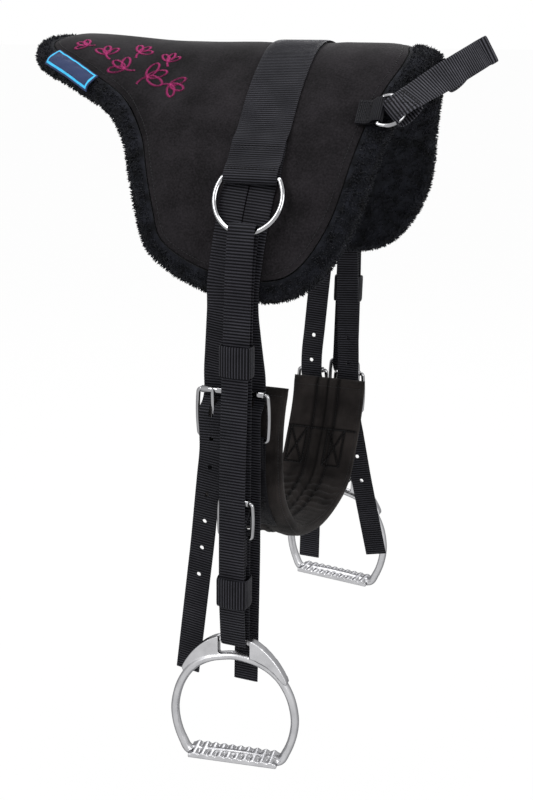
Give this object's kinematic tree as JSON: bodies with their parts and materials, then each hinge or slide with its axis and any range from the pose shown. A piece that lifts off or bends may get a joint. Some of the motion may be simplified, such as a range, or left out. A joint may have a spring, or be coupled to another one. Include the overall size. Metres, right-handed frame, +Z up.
{
  "type": "bareback pad",
  "caption": "Padded bareback riding pad that arches over a pony's back, with a buckled girth, stirrups hung from D-rings and a front grab handle.",
  "frame": {"origin": "on the underside of the arch, in the middle plane under the top webbing, where the pad rests on the horse's back", "axes": "+X towards the front of the pad (the horse's head), +Y towards the far side (the horse's left), +Z up. The side nearest the camera in the picture is at -Y."},
  "size_m": [0.4523, 0.3643, 0.6757],
  "materials": {
    "suede": "fine matt synthetic suede",
    "foam": "closed-cell foam, inside",
    "fleece": "deep knitted fleece",
    "webbing": "ribbed woven webbing",
    "girth_fabric": "matt quilted fabric",
    "plated_steel": "bright plated wire",
    "satin_steel": "satin cast steel",
    "label_cloth": "flat woven label, bare"
  },
  "bodies": {
    "seat": {"billet_far_front": "webbing", "billet_far_rear": "webbing", "billet_near_front": "webbing", "billet_near_rear": "webbing", "blank_label": "label_cloth", "fleece_lining": "fleece", "foam_core": "foam", "front_tab_far": "webbing", "front_tab_near": "webbing", "girth_buckle_far_front_frame": "plated_steel", "girth_buckle_far_rear_frame": "plated_steel", "girth_buckle_near_front_frame": "plated_steel", "girth_buckle_near_rear_frame": "plated_steel", "girth_elastic_far_front": "webbing", "girth_elastic_far_rear": "webbing", "girth_elastic_near_front": "webbing", "girth_elastic_near_rear": "webbing", "girth_pad": "girth_fabric", "seat_cover": "suede", "top_webbing": "webbing"},
    "d_ring_near_body": {"d_ring_near": "plated_steel"},
    "stirrup_strap_near_body": {"stirrup_strap_near": "webbing", "keeper_near_upper": "webbing", "keeper_near_lower": "webbing", "stirrup_buckle_near_frame": "plated_steel"},
    "stirrup_iron_near_body": {"stirrup_iron_near": "satin_steel"},
    "stirrup_tongue_near_body": {"stirrup_buckle_near_tongue": "plated_steel"},
    "stirrup_roller_near_body": {"stirrup_buckle_near_roller": "plated_steel"},
    "girth_tongue_near_front_body": {"girth_buckle_near_front_tongue": "plated_steel"},
    "girth_roller_near_front_body": {"girth_buckle_near_front_roller": "plated_steel"},
    "girth_tongue_near_rear_body": {"girth_buckle_near_rear_tongue": "plated_steel"},
    "girth_roller_near_rear_body": {"girth_buckle_near_rear_roller": "plated_steel"},
    "front_ring_near_body": {"front_ring_near": "plated_steel"},
    "d_ring_far_body": {"d_ring_far": "plated_steel"},
    "stirrup_strap_far_body": {"stirrup_strap_far": "webbing", "keeper_far_upper": "webbing", "keeper_far_lower": "webbing", "stirrup_buckle_far_frame": "plated_steel"},
    "stirrup_iron_far_body": {"stirrup_iron_far": "satin_steel"},
    "stirrup_tongue_far_body": {"stirrup_buckle_far_tongue": "plated_steel"},
    "stirrup_roller_far_body": {"stirrup_buckle_far_roller": "plated_steel"},
    "girth_tongue_far_front_body": {"girth_buckle_far_front_tongue": "plated_steel"},
    "girth_roller_far_front_body": {"girth_buckle_far_front_roller": "plated_steel"},
    "girth_tongue_far_rear_body": {"girth_buckle_far_rear_tongue": "plated_steel"},
    "girth_roller_far_rear_body": {"girth_buckle_far_rear_roller": "plated_steel"},
    "front_ring_far_body": {"front_ring_far": "plated_steel"},
    "grab_handle_body": {"grab_handle": "webbing"}
  },
  "joints": [
    {"name": "d_ring_near_hinge", "type": "hinge", "parent": "seat", "child": "d_ring_near_body", "pos_m": [0, -0.13518, -0.08448], "axis": [-1, 0, 0], "range_deg": [0, 100]},
    {"name": "stirrup_strap_near_swing", "type": "hinge", "parent": "d_ring_near_body", "child": "stirrup_strap_near_body", "pos_m": [0, -0.14169, -0.10021], "axis": [0, 1, 0], "range_deg": [-12, 10]},
    {"name": "stirrup_iron_near_hinge", "type": "hinge", "parent": "stirrup_strap_near_body", "child": "stirrup_iron_near_body", "pos_m": [-0.00578, -0.1653, -0.51386], "axis": [-0.9999, 0, 0.014], "range_deg": [0, 70]},
    {"name": "stirrup_tongue_near_hinge", "type": "hinge", "parent": "stirrup_strap_near_body", "child": "stirrup_tongue_near_body", "pos_m": [-0.0043, -0.1653, -0.40787], "axis": [0.9999, 0, -0.014], "range_deg": [0, 4]},
    {"name": "stirrup_roller_near_spin", "type": "hinge", "parent": "stirrup_strap_near_body", "child": "stirrup_roller_near_body", "pos_m": [-0.00382, -0.1653, -0.37387], "axis": [0.9999, 0, -0.014], "continuous": true},
    {"name": "girth_tongue_near_front_hinge", "type": "hinge", "parent": "seat", "child": "girth_tongue_near_front_body", "pos_m": [0.0036, -0.145, -0.3199], "axis": [1, 0, 0], "range_deg": [0, 5]},
    {"name": "girth_roller_near_front_spin", "type": "hinge", "parent": "seat", "child": "girth_roller_near_front_body", "pos_m": [0.0036, -0.145, -0.2759], "axis": [1, 0, 0], "continuous": true},
    {"name": "girth_tongue_near_rear_hinge", "type": "hinge", "parent": "seat", "child": "girth_tongue_near_rear_body", "pos_m": [-0.0326, -0.145, -0.3199], "axis": [1, 0, 0], "range_deg": [0, 5]},
    {"name": "girth_roller_near_rear_spin", "type": "hinge", "parent": "seat", "child": "girth_roller_near_rear_body", "pos_m": [-0.0326, -0.145, -0.2759], "axis": [1, 0, 0], "continuous": true},
    {"name": "front_ring_near_hinge", "type": "hinge", "parent": "seat", "child": "front_ring_near_body", "pos_m": [0.103, -0.09478, -0.02666], "axis": [0, -0.6378, -0.7702], "range_deg": [-3, 3]},
    {"name": "d_ring_far_hinge", "type": "hinge", "parent": "seat", "child": "d_ring_far_body", "pos_m": [0, 0.13518, -0.08448], "axis": [1, 0, 0], "range_deg": [0, 100]},
    {"name": "stirrup_strap_far_swing", "type": "hinge", "parent": "d_ring_far_body", "child": "stirrup_strap_far_body", "pos_m": [0, 0.14169, -0.10021], "axis": [0, 1, 0], "range_deg": [-12, 12]},
    {"name": "stirrup_iron_far_hinge", "type": "hinge", "parent": "stirrup_strap_far_body", "child": "stirrup_iron_far_body", "pos_m": [-0.01018, 0.1648, -0.46476], "axis": [0.9996, 0, -0.0279], "range_deg": [0, 70]},
    {"name": "stirrup_tongue_far_hinge", "type": "hinge", "parent": "stirrup_strap_far_body", "child": "stirrup_tongue_far_body", "pos_m": [-0.00722, 0.1648, -0.3588], "axis": [-0.9996, 0, 0.0279], "range_deg": [0, 4]},
    {"name": "stirrup_roller_far_spin", "type": "hinge", "parent": "stirrup_strap_far_body", "child": "stirrup_roller_far_body", "pos_m": [-0.00627, 0.1648, -0.32481], "axis": [0.9996, 0, -0.0279], "continuous": true},
    {"name": "girth_tongue_far_front_hinge", "type": "hinge", "parent": "seat", "child": "girth_tongue_far_front_body", "pos_m": [0.0055, 0.145, -0.3759], "axis": [-1, 0, 0], "range_deg": [0, 5]},
    {"name": "girth_roller_far_front_spin", "type": "hinge", "parent": "seat", "child": "girth_roller_far_front_body", "pos_m": [0.0055, 0.145, -0.3319], "axis": [1, 0, 0], "continuous": true},
    {"name": "girth_tongue_far_rear_hinge", "type": "hinge", "parent": "seat", "child": "girth_tongue_far_rear_body", "pos_m": [-0.0376, 0.145, -0.3759], "axis": [-1, 0, 0], "range_deg": [0, 5]},
    {"name": "girth_roller_far_rear_spin", "type": "hinge", "parent": "seat", "child": "girth_roller_far_rear_body", "pos_m": [-0.0376, 0.145, -0.3319], "axis": [1, 0, 0], "continuous": true},
    {"name": "front_ring_far_hinge", "type": "hinge", "parent": "seat", "child": "front_ring_far_body", "pos_m": [0.103, 0.07816, -0.00852], "axis": [0, -0.7144, 0.6998], "range_deg": [-3, 3]},
    {"name": "grab_handle_hinge", "type": "hinge", "parent": "seat", "child": "grab_handle_body", "pos_m": [0.11852, -0.00831, -0.01759], "axis": [0, -0.9945, -0.1043], "range_deg": [-3, 3]}
  ]
}
